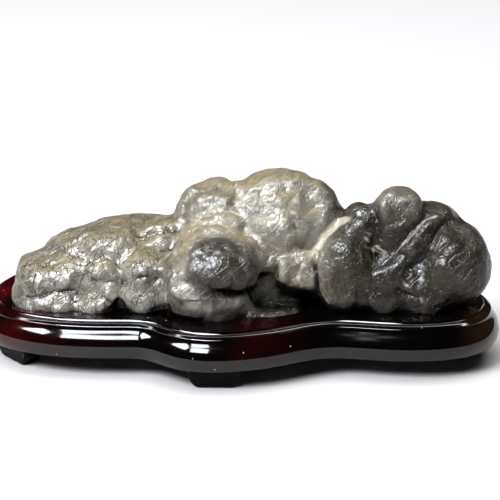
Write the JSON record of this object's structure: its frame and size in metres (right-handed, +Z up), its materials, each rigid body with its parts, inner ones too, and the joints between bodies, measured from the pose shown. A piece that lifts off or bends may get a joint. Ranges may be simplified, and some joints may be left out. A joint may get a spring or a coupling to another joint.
{
  "type": "scholars rock on wooden stand",
  "caption": "Low mountain-shaped viewing stone let into a lobed, moulded and lacquered wooden stand on short block feet, for display on a shelf, table or desk.",
  "frame": {"origin": "on the table, under the middle of the stand", "axes": "+X along the stand to the stone's right end, +Y to the back, +Z up"},
  "size_m": [0.3458, 0.1522, 0.1187],
  "materials": {
    "stone": "waxed olive-grey stone with pale veins, satin to glossy",
    "lacquered_wood": "near-black oxblood lacquer, high gloss"
  },
  "bodies": {
    "root": {"rock": "stone", "stand_plate": "lacquered_wood", "foot_front_left": "lacquered_wood", "foot_front_centre": "lacquered_wood", "foot_right_end": "lacquered_wood", "foot_back_right": "lacquered_wood", "foot_back_left": "lacquered_wood"}
  },
  "joints": []
}
